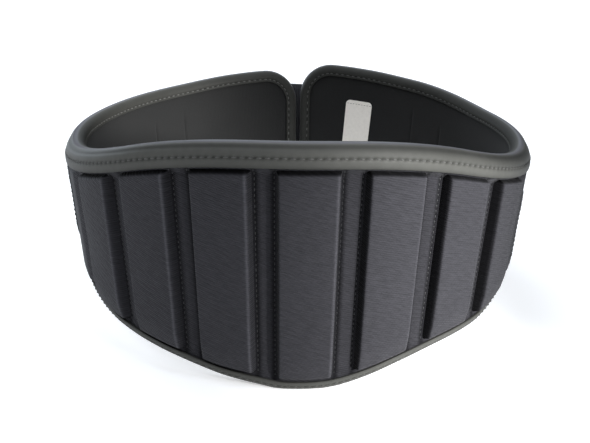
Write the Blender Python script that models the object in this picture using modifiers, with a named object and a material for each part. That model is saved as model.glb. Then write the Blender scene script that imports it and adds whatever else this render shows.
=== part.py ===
"""Contoured weightlifting belt, standing as a closed ring on its lower edge.

A foam wall with a woven cover and a knit lining, bound all round with tape, a row of raised
foam pads across the back, and a webbing strap with a loop buckle over the front.

Metres, +Z up. The belt's back faces -Y and its two ends meet at +Y. Places on the belt are
given as a distance round the ring (0 at the back, growing towards +X), a height, and how far
the place stands proud of the wall's outer face.
"""
import math

import bmesh
import bpy
import numpy as np
from mathutils import Matrix, Vector

for item in list(bpy.data.objects):
    bpy.data.objects.remove(item, do_unlink=True)

# The ring: its length is measured along the wall's outer face at RING_HEIGHT.
BELT_LENGTH = 0.867
END_GAP = 0.003
RING_HEIGHT = 0.076
RING_SLOPE = 0.105
BACK_HEIGHT = 0.1524
RIGHT_END_LIFT = 0.005
CORNER_RADIUS = 0.024

# The layers of the wall, and the clearance between pieces that touch.
CLEARANCE = 0.0003
WALL_THICKNESS = 0.005
LINING_THICKNESS = 0.0012
LINING_MARGIN = 0.004

# The edge binding: tape folded over the wall's rim.
TAPE_THICKNESS = 0.0012
TOP_LEG = 0.0123
BOTTOM_LEG = 0.0065
END_LEG = 0.010
INSIDE_LEG = 0.0075
CREST_PROUD = -0.002
RIM_ROUNDING = 0.7  # share of the leg
RIM_SHARES = (0.45, 0.12, 0.0)  # of the rounding, where its curve is sampled
RIM_TURN = 0.0006
WALL_INNER_CHAMFER = 0.0020
LINING_BITE = 0.0012
TOP_SWELL = 0.0040
BOTTOM_SWELL = 0.0012
SWELL_FADE = 0.0045
# Past the row of pads the foam isn't drawn down by seams, and stands out between the bindings.
SIDE_SWELL = 0.0045
SIDE_SWELL_FROM_PADS = 0.013
SIDE_SWELL_RISE = 0.012
REST_SQUASH = 0.0012

# The raised pads: foot width and pitch along the wall, the middle one at PAD_ROW_SHIFT.
PAD_COUNT = 7
PAD_PITCH = 0.0457
PAD_WIDTH = 0.0330
PAD_HEIGHT = 0.0067
PAD_LEAN = 0.0026
PAD_EDGE_ROUND = 0.0022
PAD_CLEARANCE = 0.0005
PAD_END_CLEARANCE = 0.0012
PAD_ROW_SHIFT = 0.0057
PAD_ENDS = (
    # in from the end, share of the full height
    (0.0, 0.20),
    (0.0014, 0.78),
    (0.0040, 0.97),
)
PAD_MIDDLES = (0.3, 0.5, 0.7)
PAD_SIDE_LEVELS = (0.0, 0.12, 0.80, 1.0)

# The strap: webbing over the front, from one side to the other, and its loop buckle.
STRAP_WIDTH = 0.045
STRAP_THICKNESS = 0.0016
STRAP_CLEARANCE = 0.0003
STRAP_TAB = 0.028
STRAP_TAIL = 0.122
STRAP_WRAP_CLEARANCE = 0.0011
STRAP_STEP_DOWN = 0.006
FOLD_LEAN = 32
BUCKLE_FROM_END = 0.076
BUCKLE_SLOT = 0.012
BUCKLE_BAR = 0.003
BUCKLE_SIDE_CLEARANCE = 0.0015

# The sewn label inside the right end.
LABEL_WIDTH = 0.018
LABEL_LENGTH = 0.045
LABEL_THICKNESS = 0.0004
LABEL_CORNER = 0.003
LABEL_FROM_END = 0.0444
LABEL_TOP = 0.107
LABEL_TILT = math.radians(-2)

# How finely the curves are cut into flats.
COLUMN_COUNT = 66
CORNER_STEPS = 6
STRAP_POINT_SPACING = 0.011
SLOPE_STEP = 0.002
SHARP_ANGLE = math.radians(40)

RING_RADIUS = (BELT_LENGTH + END_GAP) / (2 * math.pi)
HALF_RING = math.pi * RING_RADIUS
LEFT_END = -HALF_RING + END_GAP / 2
RIGHT_END = HALF_RING - END_GAP / 2

# The belt's edges. around: share of half the ring from the back's middle; top, left and right
# bottom: shares of BACK_HEIGHT; swell: share of TOP_SWELL.
EDGE_LINES = (
    # around, top, left bottom, right bottom, swell
    (0.00, 0.994, 0.000, 0.000, 1.0),
    (0.02, 0.994, 0.001, 0.001, 1.0),
    (0.05, 0.992, 0.015, 0.008, 1.0),
    (0.10, 0.982, 0.036, 0.040, 1.0),
    (0.15, 0.960, 0.063, 0.080, 1.0),
    (0.20, 0.926, 0.084, 0.110, 1.0),
    (0.25, 0.882, 0.102, 0.124, 1.0),
    (0.30, 0.840, 0.120, 0.134, 1.0),
    (0.36, 0.800, 0.150, 0.166, 1.0),
    (0.42, 0.776, 0.182, 0.196, 1.0),
    (0.50, 0.768, 0.202, 0.204, 0.4),
    (0.60, 0.764, 0.180, 0.178, 0.3),
    (0.70, 0.768, 0.110, 0.108, 0.3),
    (0.80, 0.778, 0.036, 0.036, 0.3),
    (0.88, 0.797, 0.000, 0.000, 0.3),
    (0.94, 0.808, 0.000, 0.000, 0.3),
    (1.00, 0.812, 0.000, 0.000, 0.3),
)
# The right end's top edge rises between these shares of half the ring.
LIFT_FROM, LIFT_TO = 0.62, 0.80

# The strap's middle line. around: share of half the ring, going right from the back and on
# past the front; height: share of BACK_HEIGHT.
STRAP_LINE = (
    # around, height
    (0.42, 0.377),
    (1.00, 0.587),
    (1.58, 0.502),
)
STRAP_START = 0.444
STRAP_FINISH = 1.558

MATERIALS = {
    # slot: colour, roughness, metallic
    "woven_cover": ((0.050, 0.048, 0.054, 1), 0.85, 0.0),
    "knit_lining": ((0.022, 0.022, 0.022, 1), 0.95, 0.0),
    "binding_tape": ((0.085, 0.086, 0.085, 1), 0.50, 0.0),
    "webbing": ((0.012, 0.012, 0.013, 1), 0.80, 0.0),
    "buckle_black": ((0.015, 0.015, 0.016, 1), 0.40, 0.9),
    "label_cloth": ((0.680, 0.650, 0.600, 1), 0.70, 0.0),
}


def smooth_step(value):
    """Ease from 0 to 1 as value goes from 0 to 1."""
    value = min(1.0, max(0.0, value))
    return value * value * (3 - 2 * value)


def read_table(table, column, place):
    """Read one column of a table at a place, on a smooth curve through its rows."""
    places = [row[0] for row in table]
    values = [row[column] for row in table]
    slopes = np.gradient(values, places)
    place = min(places[-1], max(places[0], place))
    i = min(len(places) - 2, int(np.searchsorted(places, place, side="right")) - 1)
    span = places[i + 1] - places[i]
    t = (place - places[i]) / span
    start = values[i] * (1 + 2 * t) * (1 - t) ** 2 + slopes[i] * span * t * (1 - t) ** 2
    finish = values[i + 1] * t * t * (3 - 2 * t) - slopes[i + 1] * span * t * t * (1 - t)
    return start + finish


def top_edge(along):
    """Height of the belt's top edge, with the right end's lift."""
    share = abs(along) / HALF_RING
    lift = smooth_step((along / HALF_RING - LIFT_FROM) / (LIFT_TO - LIFT_FROM))
    return BACK_HEIGHT * read_table(EDGE_LINES, 1, share) + RIGHT_END_LIFT * lift


def bottom_edge(along):
    """Height of the belt's bottom edge."""
    column = 2 if along < 0 else 3
    return BACK_HEIGHT * read_table(EDGE_LINES, column, abs(along) / HALF_RING)


def top_swell(along):
    """How far the wall's outer face stands out under the top binding."""
    return TOP_SWELL * read_table(EDGE_LINES, 4, abs(along) / HALF_RING)


def side_swell(along):
    """How far the wall's outer face stands out between its bindings, past the row of pads."""
    row_end = (PAD_COUNT - 1) / 2 * PAD_PITCH + PAD_WIDTH / 2 + SIDE_SWELL_FROM_PADS
    return SIDE_SWELL * smooth_step((abs(along - PAD_ROW_SHIFT) - row_end) / SIDE_SWELL_RISE)


def on_belt(along, height, proud):
    """The point in space for a place on the belt."""
    angle = along / RING_RADIUS
    lean = math.hypot(1, RING_SLOPE)
    radius = RING_RADIUS + RING_SLOPE * (height - RING_HEIGHT) + proud / lean
    rise = height - proud * RING_SLOPE / lean
    return Vector((radius * math.sin(angle), -radius * math.cos(angle), rise))


def offset_line(points, distance):
    """Move a flat line of points sideways, to its left when distance is positive."""
    line = np.array(points)
    steps = np.diff(line, axis=0)
    steps /= np.linalg.norm(steps, axis=1)[:, None]
    before = np.vstack([steps[:1], steps])
    after = np.vstack([steps, steps[-1:]])
    middle = before + after
    middle /= np.linalg.norm(middle, axis=1)[:, None]
    reach = distance / np.maximum(0.5, np.sum(middle * after, axis=1))
    return line + np.column_stack([-middle[:, 1], middle[:, 0]]) * reach[:, None]


def slope_of(line, along):
    """Slope of an edge line at a place."""
    return (line(along + SLOPE_STEP) - line(along - SLOPE_STEP)) / (2 * SLOPE_STEP)


class EdgePlace:
    """A station on the belt's outline: its place, outward direction and binding sizes."""

    def __init__(self, along, height, outward, leg, swell):
        self.along, self.height = along, height
        self.outward = outward
        self.leg, self.swell = leg, swell

    def inside(self, depth, proud):
        """The point depth in from the belt's edge, and proud of the wall's outer face."""
        along = self.along - self.outward[0] * depth
        return on_belt(along, self.height - self.outward[1] * depth, proud)


def edge_places(side):
    """The stations along the top edge (side 1) or bottom edge (side -1), left end first."""
    line = top_edge if side > 0 else bottom_edge
    leg = TOP_LEG if side > 0 else BOTTOM_LEG
    places = []
    turns = [math.radians(90) * (1 - i / CORNER_STEPS) for i in range(CORNER_STEPS)]
    first, last = LEFT_END + CORNER_RADIUS, RIGHT_END - CORNER_RADIUS
    for turn in turns:
        along = LEFT_END + CORNER_RADIUS * (1 - math.sin(turn))
        places.append((along, turn, -1))
    for i in range(COLUMN_COUNT + 1):
        places.append((first + (last - first) * i / COLUMN_COUNT, 0.0, 1))
    for turn in reversed(turns):
        along = RIGHT_END - CORNER_RADIUS * (1 - math.sin(turn))
        places.append((along, turn, 1))
    stations = []
    for along, turn, end in places:
        drop = CORNER_RADIUS * (1 - math.cos(turn))
        outward = Vector((end * math.sin(turn), side * math.cos(turn)))
        if turn == 0.0:
            outward = Vector((-slope_of(line, along) * side, side)).normalized()
        share = math.sin(turn)
        swell = top_swell(along) if side > 0 else BOTTOM_SWELL
        width = leg + (END_LEG - leg) * share
        stand = swell + (BOTTOM_SWELL - swell) * share
        stations.append(EdgePlace(along, line(along) - side * drop, outward, width, stand))
    return stations


TOP_PLACES = edge_places(1)
BOTTOM_PLACES = edge_places(-1)
RIM_DEPTH = TAPE_THICKNESS + CLEARANCE
LINING_FACE = -(WALL_THICKNESS + CLEARANCE + LINING_THICKNESS)


def wall_proud(depth, leg, swell, open_face=0.0):
    """How proud the wall's outer face stands, depth in from the belt's edge. open_face is how
    proud it stands clear of the binding."""
    if depth > leg:
        return open_face + (swell - open_face) * max(0.0, 1 - (depth - leg) / SWELL_FADE)
    rounding = RIM_ROUNDING * leg
    turn = 1 - min(1.0, max(0.0, (depth - RIM_DEPTH) / rounding))
    return CREST_PROUD + (swell - CREST_PROUD) * math.sqrt(1 - turn * turn)


def rim_depths(leg):
    """Depths at which the rounded rim is sampled, from the tape's edge to the crest."""
    return [leg] + [RIM_DEPTH + share * RIM_ROUNDING * leg for share in RIM_SHARES]


def new_object(name, slot, mesh):
    """Add a mesh as a named piece with its material."""
    piece = bpy.data.objects.new(name, mesh)
    belt.objects.link(piece)
    piece.parent = stand
    piece.data.materials.append(materials[slot])
    mesh.shade_smooth()
    mesh.set_sharp_from_angle(angle=SHARP_ANGLE)
    return piece


def mesh_of(name, points, faces):
    """A mesh with its faces turned outwards."""
    mesh = bpy.data.meshes.new(name)
    mesh.from_pydata([tuple(point) for point in points], [], faces)
    work = bmesh.new()
    work.from_mesh(mesh)
    bmesh.ops.recalc_face_normals(work, faces=work.faces)
    work.to_mesh(mesh)
    work.free()
    return mesh


def loft(name, slot, rings, round_trip=False):
    """A closed solid through rings of points: round_trip joins the last ring to the first."""
    count = len(rings[0])
    points = [point for ring in rings for point in ring]
    faces = []
    gaps = len(rings) if round_trip else len(rings) - 1
    for i in range(gaps):
        here, there = i * count, (i + 1) % len(rings) * count
        for j in range(count):
            k = (j + 1) % count
            faces.append((here + j, here + k, there + k, there + j))
    if not round_trip:
        faces.append(tuple(range(count)))
        faces.append(tuple(range(len(points) - count, len(points))))
    return new_object(name, slot, mesh_of(name, points, faces))


def panel(name, slot, edge_line):
    """A sheet as large as the belt. edge_line gives the sheet's edge at a station, as depths
    and prouds from its outer face round to its inner face."""
    points, rows = [], []
    for high, low in zip(TOP_PLACES, BOTTOM_PLACES):
        row = []
        for place, order in ((high, 1), (low, -1)):
            line = [place.inside(depth, proud) for depth, proud in edge_line(place)]
            row.extend(line[::order])
        rows.append(range(len(points), len(points) + len(row)))
        points.extend(row)
    count = len(rows[0])
    faces = []
    for here, there in zip(rows, rows[1:]):
        for j in range(count):
            k = (j + 1) % count
            faces.append((here[j], here[k], there[k], there[j]))
    for row in (rows[0], rows[-1]):
        for j in range(count // 2 - 1):
            faces.append((row[j], row[j + 1], row[count - 2 - j], row[count - 1 - j]))
    return new_object(name, slot, mesh_of(name, points, faces))


def wall_edge(place):
    """The wall's section at its edge."""
    outer = [place.leg + SWELL_FADE, *rim_depths(place.leg)]
    face = side_swell(place.along)
    line = [(depth, wall_proud(depth, place.leg, place.swell, face)) for depth in outer]
    line.append((RIM_DEPTH + RIM_TURN, 0.4 * CREST_PROUD - 0.6 * WALL_THICKNESS))
    line.append((RIM_DEPTH + WALL_INNER_CHAMFER, -WALL_THICKNESS))
    return line


def lining_edge(place):
    """The lining's section at its edge, which the binding covers."""
    return [(LINING_MARGIN, LINING_FACE + LINING_THICKNESS), (LINING_MARGIN, LINING_FACE)]


def tape_section(place):
    """The binding's section: the wall's rim and the lining's edge, grown by the tape."""
    rim = [(depth, wall_proud(depth, place.leg, place.swell)) for depth in rim_depths(place.leg)]
    rim.append((RIM_DEPTH + RIM_TURN, 0.45 * LINING_FACE + 0.55 * CREST_PROUD))
    rim.append((LINING_MARGIN - LINING_BITE, LINING_FACE))
    rim.append((INSIDE_LEG, LINING_FACE))
    outer = offset_line(rim, -(CLEARANCE + TAPE_THICKNESS))
    inner = offset_line(rim, -CLEARANCE)
    return [tuple(pair) for pair in outer] + [tuple(pair) for pair in inner[::-1]]


def make_binding():
    """The tape all round the outline, squashed flat where the belt stands on it."""
    rings = []
    for place in TOP_PLACES + BOTTOM_PLACES[::-1]:
        rings.append([place.inside(depth, proud) for depth, proud in tape_section(place)])
    floor = min(point.z for ring in rings for point in ring) + REST_SQUASH
    for ring in rings:
        for point in ring:
            point.z = max(point.z, floor)
    return loft("edge_binding", "binding_tape", rings, round_trip=True)


def wall_under(along, height):
    """How proud the wall stands at a place away from its ends."""
    from_top = (top_edge(along) - height) / math.hypot(1, slope_of(top_edge, along))
    from_bottom = (height - bottom_edge(along)) / math.hypot(1, slope_of(bottom_edge, along))
    return max(wall_proud(from_top, TOP_LEG, top_swell(along)),
               wall_proud(from_bottom, BOTTOM_LEG, BOTTOM_SWELL))


def make_pad(number, middle):
    """One raised pad, from the bottom binding to the top one."""
    half = PAD_WIDTH / 2
    across = [-half, -half, PAD_LEAN - half, PAD_LEAN + PAD_EDGE_ROUND - half]
    across += [-place for place in reversed(across)]
    across.append(0.0)
    levels = [*PAD_SIDE_LEVELS, *reversed(PAD_SIDE_LEVELS), 0.0]
    stations = [(0, gap, full) for gap, full in PAD_ENDS]
    stations += [(share, 0, 1.0) for share in PAD_MIDDLES]
    stations += [(1, -gap, full) for gap, full in reversed(PAD_ENDS)]
    rings = []
    for share, gap, full in stations:
        ring = []
        for sideways, level in zip(across, levels):
            along = middle + sideways
            low = bottom_edge(along) + BOTTOM_LEG + PAD_END_CLEARANCE
            high = top_edge(along) - TOP_LEG - PAD_END_CLEARANCE
            height = low + (high - low) * share + gap
            foot = wall_under(along, height) + PAD_CLEARANCE
            ring.append(on_belt(along, height, foot + (PAD_HEIGHT - foot) * full * level))
        rings.append(ring)
    return loft(f"pad_{number}", "woven_cover", rings)


def arc_round(centre, radius, start, finish, steps=9):
    """Points on an arc in the flat section of a strap, angles in degrees."""
    turns = [math.radians(start + (finish - start) * i / steps) for i in range(steps + 1)]
    return [(centre[0] + radius * math.cos(t), centre[1] + radius * math.sin(t)) for t in turns]


def strap_height(along):
    """Height of the strap's middle line."""
    return BACK_HEIGHT * read_table(STRAP_LINE, 1, along / HALF_RING)


BINDING_PROUD = max(top_swell(HALF_RING), BOTTOM_SWELL) + CLEARANCE + TAPE_THICKNESS
SEAT = max(BINDING_PROUD, SIDE_SWELL) + STRAP_CLEARANCE + STRAP_THICKNESS / 2
WRAP_RADIUS = BUCKLE_BAR / 2 + STRAP_WRAP_CLEARANCE + STRAP_THICKNESS / 2
BAR_PROUD = SEAT + WRAP_RADIUS
SECOND_LAYER = SEAT + STRAP_THICKNESS + CLEARANCE
BUCKLE_ALONG = HALF_RING + END_GAP / 2 + BUCKLE_FROM_END
BAR_SPACING = BUCKLE_SLOT + BUCKLE_BAR


def level_run(start, finish, proud):
    """Points along a stretch of strap that keeps its distance from the wall."""
    count = max(1, round(abs(finish - start) / STRAP_POINT_SPACING))
    return [(start + (finish - start) * i / count, proud) for i in range(count + 1)]


def round_bar(along, back):
    """The strap from under a bar, through the slot and down onto its second layer. back is 1
    where it folds back to a larger along."""
    turn = 180 + FOLD_LEAN
    line = arc_round((along, BAR_PROUD), WRAP_RADIUS, -90, -90 - back * turn)
    last_along, last_proud = line[-1]
    run = (last_proud - SECOND_LAYER) / math.tan(math.radians(FOLD_LEAN))
    return line + [(last_along + back * run, SECOND_LAYER)]


def make_strap(name, line):
    """Webbing along a line of (along, proud) points."""
    half = STRAP_THICKNESS / 2
    rings = []
    for outer, inner in zip(offset_line(line, half), offset_line(line, -half)):
        ring = []
        for (along, proud), side in ((outer, 1), (inner, 1), (inner, -1), (outer, -1)):
            height = strap_height(along) + side * STRAP_WIDTH / 2
            ring.append(on_belt(along, height, proud))
        rings.append(ring)
    return loft(name, "webbing", rings)


def make_buckle_strap():
    """From the left side to the buckle, round its near bar and back under itself."""
    bar = BUCKLE_ALONG + BAR_SPACING / 2
    tab_end = bar + STRAP_TAB
    fold = round_bar(bar, 1)
    line = level_run(tab_end, bar, SEAT)[:-1] + fold
    line += level_run(fold[-1][0], tab_end + STRAP_THICKNESS, SECOND_LAYER)[1:]
    step_down = line[-1][0] + STRAP_STEP_DOWN
    line += level_run(step_down, STRAP_FINISH * HALF_RING, SEAT)
    return make_strap("buckle_strap", line)


def make_closing_strap():
    """From the right side over the gap, round the buckle's far bar, and folded back."""
    bar = BUCKLE_ALONG - BAR_SPACING / 2
    fold = round_bar(bar, -1)
    line = level_run(STRAP_START * HALF_RING, bar, SEAT)[:-1] + fold
    line += level_run(fold[-1][0], fold[-1][0] - STRAP_TAIL, SECOND_LAYER)[1:]
    return make_strap("closing_strap", line)


def make_buckle():
    """A flat rectangular loop with two bars, lying on the belt's left front."""
    opening = STRAP_WIDTH + 2 * BUCKLE_SIDE_CLEARANCE
    across, tall = BUCKLE_SLOT + 2 * BUCKLE_BAR, opening + 2 * BUCKLE_BAR
    shape = bmesh.new()
    bmesh.ops.create_cube(shape, size=1, matrix=Matrix.Diagonal((across, BUCKLE_BAR, tall, 1)))
    shape.normal_update()
    flats = [face for face in shape.faces if abs(face.normal.y) > 0.5]
    bmesh.ops.inset_individual(shape, faces=flats, thickness=BUCKLE_BAR)
    slot_edges = [edge for face in flats for edge in face.edges]
    bmesh.ops.delete(shape, geom=flats, context="FACES_ONLY")
    bmesh.ops.bridge_loops(shape, edges=slot_edges)
    bmesh.ops.recalc_face_normals(shape, faces=shape.faces)
    centre = on_belt(BUCKLE_ALONG, strap_height(BUCKLE_ALONG), BAR_PROUD)
    outward = on_belt(BUCKLE_ALONG, strap_height(BUCKLE_ALONG), BAR_PROUD + 1) - centre
    turn = outward.to_track_quat("Y", "Z").to_matrix().to_4x4()
    mesh = bpy.data.meshes.new("loop_buckle")
    shape.to_mesh(mesh)
    shape.free()
    buckle = new_object("loop_buckle", "buckle_black", mesh)
    buckle.matrix_local = Matrix.Translation(centre) @ turn
    bevel = buckle.modifiers.new("Rounded edges", "BEVEL")
    bevel.width = 0.25 * BUCKLE_BAR
    bevel.segments = 2
    return buckle


def make_label():
    """A small sewn label on the lining, tilted, with rounded corners."""
    half_wide, half_long = LABEL_WIDTH / 2, LABEL_LENGTH / 2
    outline = []
    for corner_x, corner_y, start in ((1, 1, 0), (-1, 1, 90), (-1, -1, 180), (1, -1, 270)):
        centre = (corner_x * (half_wide - LABEL_CORNER), corner_y * (half_long - LABEL_CORNER))
        outline += arc_round(centre, LABEL_CORNER, start, start + 90, steps=3)
    middle = (RIGHT_END - LABEL_FROM_END, LABEL_TOP - half_long)
    cos, sin = math.cos(LABEL_TILT), math.sin(LABEL_TILT)
    back = LINING_FACE - STRAP_CLEARANCE
    rings = []
    for proud in (back, back - LABEL_THICKNESS):
        rings.append([on_belt(middle[0] - (x * cos - y * sin), middle[1] + x * sin + y * cos, proud)
                      for x, y in outline])
    return loft("label", "label_cloth", rings)


def make_material(name, colour, roughness, metallic):
    """A Principled material."""
    material = bpy.data.materials.new(name)
    material.use_nodes = True
    shader = material.node_tree.nodes["Principled BSDF"]
    shader.inputs["Base Color"].default_value = colour
    shader.inputs["Roughness"].default_value = roughness
    shader.inputs["Metallic"].default_value = metallic
    return material


belt = bpy.data.collections.new("weightlifting_belt")
bpy.context.scene.collection.children.link(belt)
stand = bpy.data.objects.new("belt_stand", None)
belt.objects.link(stand)
materials = {name: make_material(name, *values) for name, values in MATERIALS.items()}

pad_middles = [PAD_ROW_SHIFT + (i - (PAD_COUNT - 1) / 2) * PAD_PITCH for i in range(PAD_COUNT)]

panel("foam_wall", "woven_cover", wall_edge)
panel("lining", "knit_lining", lining_edge)
make_binding()
for i, middle in enumerate(pad_middles):
    make_pad(i + 1, middle)
make_buckle_strap()
make_closing_strap()
make_buckle()
make_label()

# The stand moves the whole belt so that the middle of its lowest plane is at the origin.
bpy.context.view_layer.update()
corners = np.array([piece.matrix_world @ vertex.co
                    for piece in belt.objects if piece.type == "MESH"
                    for vertex in piece.data.vertices])
low, high = corners.min(axis=0), corners.max(axis=0)
stand.location = (-(low[0] + high[0]) / 2, -(low[1] + high[1]) / 2, -low[2])
bpy.context.view_layer.update()
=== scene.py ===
"""Weightlifting belt, standing as a closed ring on its lower edge: its looks, in the order it is sewn.

Every piece is shaped flat, as such a belt is cut and sewn, and then bent round into the ring. On the flat,
X runs round the belt from the middle of its back, Z is height, and -Y stands out from the wall's outer face.
Metres throughout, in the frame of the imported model.
"""
import math

import bpy
import numpy as np
from mathutils import Matrix, Vector


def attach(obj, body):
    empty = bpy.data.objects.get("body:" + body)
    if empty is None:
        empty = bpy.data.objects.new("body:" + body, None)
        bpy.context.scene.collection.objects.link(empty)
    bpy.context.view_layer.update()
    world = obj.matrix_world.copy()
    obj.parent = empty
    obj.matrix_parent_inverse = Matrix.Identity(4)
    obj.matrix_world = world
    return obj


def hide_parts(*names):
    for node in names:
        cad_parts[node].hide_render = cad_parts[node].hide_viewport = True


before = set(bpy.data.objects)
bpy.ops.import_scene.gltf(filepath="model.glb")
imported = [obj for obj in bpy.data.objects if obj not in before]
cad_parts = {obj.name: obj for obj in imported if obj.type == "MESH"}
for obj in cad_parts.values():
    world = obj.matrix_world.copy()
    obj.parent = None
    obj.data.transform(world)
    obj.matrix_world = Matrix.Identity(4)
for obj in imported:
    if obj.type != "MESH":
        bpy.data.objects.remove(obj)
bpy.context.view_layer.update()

# The foam wall in its woven cover
# A 5 mm sheet of closed foam with woven nylon bonded over its outer face, cut tall over the back and
# low at the sides, with two rounded ends that meet at the front. The ring that it makes is a cone,
# wider at the top. Stitches along both sides of each raised pad draw the cloth down.
BELT_LENGTH = 0.867
END_GAP = 0.003
RING_HEIGHT = 0.076
RING_SLOPE = 0.105
BACK_HEIGHT = 0.1524
RIGHT_END_LIFT = 0.005
LIFT_FROM, LIFT_TO = 0.62, 0.80
CORNER_RADIUS = 0.024
RING_CENTRE = Vector((0.00086, 0.00025, -0.00113))
RING_RADIUS = (BELT_LENGTH + END_GAP) / (2 * math.pi)
HALF_RING = math.pi * RING_RADIUS
LEFT_END = -HALF_RING + END_GAP / 2
RIGHT_END = HALF_RING - END_GAP / 2
EDGE_LINES = np.array((
    # around (share of half the ring), top, left and right bottom (shares of the back's height), swell
    (0.00, 0.994, 0.000, 0.000, 1.0),
    (0.02, 0.994, 0.001, 0.001, 1.0),
    (0.05, 0.992, 0.015, 0.008, 1.0),
    (0.10, 0.982, 0.036, 0.040, 1.0),
    (0.15, 0.960, 0.063, 0.080, 1.0),
    (0.20, 0.926, 0.084, 0.110, 1.0),
    (0.25, 0.882, 0.102, 0.124, 1.0),
    (0.30, 0.840, 0.120, 0.134, 1.0),
    (0.36, 0.800, 0.150, 0.166, 1.0),
    (0.42, 0.776, 0.182, 0.196, 1.0),
    (0.50, 0.768, 0.202, 0.204, 0.4),
    (0.60, 0.764, 0.180, 0.178, 0.3),
    (0.70, 0.768, 0.110, 0.108, 0.3),
    (0.80, 0.778, 0.036, 0.036, 0.3),
    (0.88, 0.797, 0.000, 0.000, 0.3),
    (0.94, 0.808, 0.000, 0.000, 0.3),
    (1.00, 0.812, 0.000, 0.000, 0.3),
))


def smooth_step(value):
    """Ease from 0 to 1 as value goes from 0 to 1."""
    value = np.clip(value, 0.0, 1.0)
    return value * value * (3 - 2 * value)


def read_table(table, column, place):
    """Read one column of a table at places, on a smooth curve through its rows."""
    places, values = table[:, 0], table[:, column]
    slopes = np.gradient(values, places)
    place = np.clip(place, places[0], places[-1])
    i = np.clip(np.searchsorted(places, place, side="right") - 1, 0, len(places) - 2)
    gap = places[i + 1] - places[i]
    t = (place - places[i]) / gap
    start = values[i] * (1 + 2 * t) * (1 - t) ** 2 + slopes[i] * gap * t * (1 - t) ** 2
    return start + values[i + 1] * t * t * (3 - 2 * t) - slopes[i + 1] * gap * t * t * (1 - t)


def top_edge(along):
    """Height of the belt's top edge, with the right end's lift."""
    lift = smooth_step((along / HALF_RING - LIFT_FROM) / (LIFT_TO - LIFT_FROM))
    return BACK_HEIGHT * read_table(EDGE_LINES, 1, np.abs(along) / HALF_RING) + RIGHT_END_LIFT * lift


def bottom_edge(along):
    """Height of the belt's bottom edge."""
    share = np.abs(along) / HALF_RING
    left, right = read_table(EDGE_LINES, 2, share), read_table(EDGE_LINES, 3, share)
    return BACK_HEIGHT * np.where(np.asarray(along) < 0, left, right)


# The binding grips the wall all round: with a wide leg outside along the top, a narrow one along the
# bottom and a middling one round the ends. Its stations go round the outline, one at each half stitch.
CLEARANCE = 0.0003
WALL_THICKNESS, WALL_INSIDE_GAP = 0.005, 0.001
TAPE_THICKNESS = 0.0012
TOP_LEG, BOTTOM_LEG, END_LEG = 0.0123, 0.0065, 0.010
TOP_SWELL, BOTTOM_SWELL, SWELL_FADE = 0.0040, 0.0012, 0.0045
CREST_PROUD, CREST_SHARE = -0.002, 0.7
STITCH_PITCH = 0.0042
CORNER_STEPS, END_STEPS = 16, 33
RIM_DEPTH = TAPE_THICKNESS + CLEARANCE
SLOPE_STEP = 0.002
PART_SIZE = 2000


def slope_of(line, along):
    """Slope of an edge line."""
    return (line(along + SLOPE_STEP) - line(along - SLOPE_STEP)) / (2 * SLOPE_STEP)


def run_of(side, end=0):
    """Stations along one edge (end 0) or round one corner (end -1 or 1) of the top (side 1) or
    the bottom (side -1), from left to right: along, height, outward x and z, leg and swell."""
    line = top_edge if side > 0 else bottom_edge
    leg = TOP_LEG if side > 0 else BOTTOM_LEG
    if end:
        turn = np.radians(np.linspace(90, 0, CORNER_STEPS + 1)[:-1])
        along = end * (HALF_RING - END_GAP / 2 - CORNER_RADIUS * (1 - np.sin(turn)))
        height = line(along) - side * CORNER_RADIUS * (1 - np.cos(turn))
        share, outward = np.sin(turn), np.column_stack([end * np.sin(turn), side * np.cos(turn)])
    else:
        first, last = LEFT_END + CORNER_RADIUS, RIGHT_END - CORNER_RADIUS
        along = np.linspace(first, last, 2 * round((last - first) / STITCH_PITCH) + 1)
        height, share = line(along), np.zeros(len(along))
        outward = np.column_stack([-slope_of(line, along) * side, np.full(len(along), float(side))])
        outward /= np.linalg.norm(outward, axis=1)[:, None]
    swell = np.full(len(along), BOTTOM_SWELL)
    if side > 0:
        swell = TOP_SWELL * read_table(EDGE_LINES, 4, np.abs(along) / HALF_RING)
    swell += (BOTTOM_SWELL - swell) * share
    width = leg + (END_LEG - leg) * share
    run = np.column_stack([along, height, outward, width, swell])
    return run[::-1] if end > 0 else run


def end_run(end):
    """Stations down one end, between its corners."""
    along = end * (HALF_RING - END_GAP / 2)
    high, low = top_edge(along) - CORNER_RADIUS, bottom_edge(along) + CORNER_RADIUS
    height = np.linspace(high, low, END_STEPS + 1)[1:-1]
    row = [along, 0, end, 0, END_LEG, BOTTOM_SWELL]
    run = np.tile(np.array(row, float), (len(height), 1))
    run[:, 1] = height
    return run


OUTLINE = np.vstack([
    run_of(1, -1), run_of(1), run_of(1, 1), end_run(1),
    run_of(-1, 1)[::-1], run_of(-1)[::-1], run_of(-1, -1)[::-1], end_run(-1)[::-1],
])


def wall_proud(depth, leg, swell):
    """How proud the wall's outer face stands, depth in from the belt's edge."""
    turn = 1 - np.clip((depth - RIM_DEPTH) / (CREST_SHARE * leg), 0.0, 1.0)
    rim = CREST_PROUD + (swell - CREST_PROUD) * np.sqrt(1 - turn * turn)
    fade = swell * np.clip(1 - (depth - leg) / SWELL_FADE, 0.0, 1.0)
    return np.where(depth > leg, fade, rim)


def from_edge(along, height):
    """Distance of places from the outline, and the leg and swell of its nearest station."""
    nearest = np.empty(len(along), int)
    for first in range(0, len(along), PART_SIZE):
        part = slice(first, first + PART_SIZE)
        gaps = np.hypot(along[part, None] - OUTLINE[:, 0], height[part, None] - OUTLINE[:, 1])
        nearest[part] = gaps.argmin(axis=1)
    station = OUTLINE[nearest]
    distance = (station[:, 0] - along) * station[:, 2] + (station[:, 1] - height) * station[:, 3]
    return distance, station[:, 4], station[:, 5]


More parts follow.
